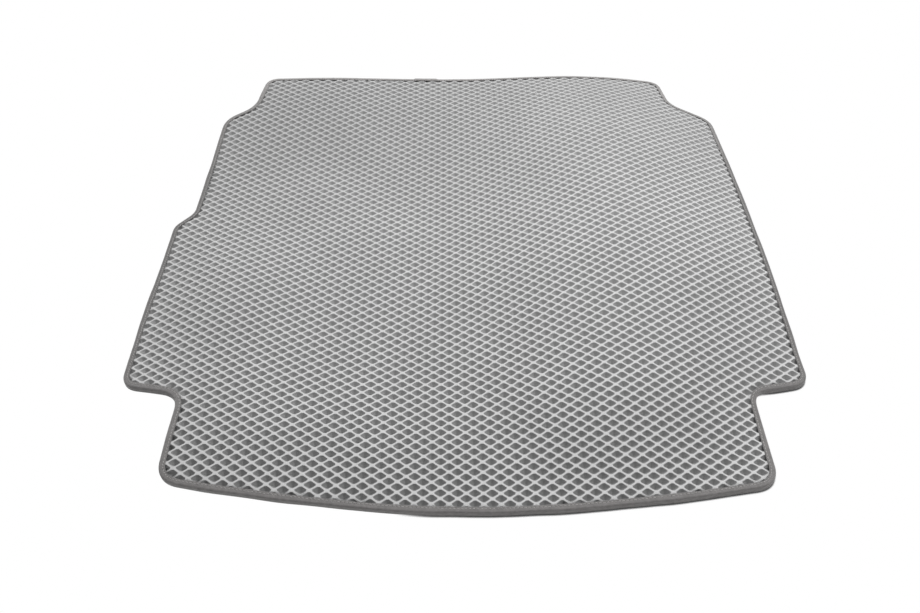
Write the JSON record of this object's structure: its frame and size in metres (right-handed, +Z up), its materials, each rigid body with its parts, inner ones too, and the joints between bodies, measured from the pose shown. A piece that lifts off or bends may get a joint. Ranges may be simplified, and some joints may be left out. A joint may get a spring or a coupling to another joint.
{
  "type": "car boot liner",
  "caption": "Flexible foam liner for a car boot floor: diamond cells in its top hold water and grit, and a folded fabric tape is sewn round its edge.",
  "frame": {"origin": "under the middle of the liner, on the level floor it lies on", "axes": "+X across the boot to the right as seen from the bumper, +Y from the bumper end to the seat end, +Z up"},
  "size_m": [0.9774, 1.0024, 0.0568],
  "materials": {
    "foam": "matt light grey moulded closed cell foam",
    "tape": "woven mid grey edging tape",
    "thread": "grey spun thread"
  },
  "bodies": {
    "root": {"cell_sheet": "foam", "edge_tape": "tape", "seam_thread": "thread"}
  },
  "joints": []
}
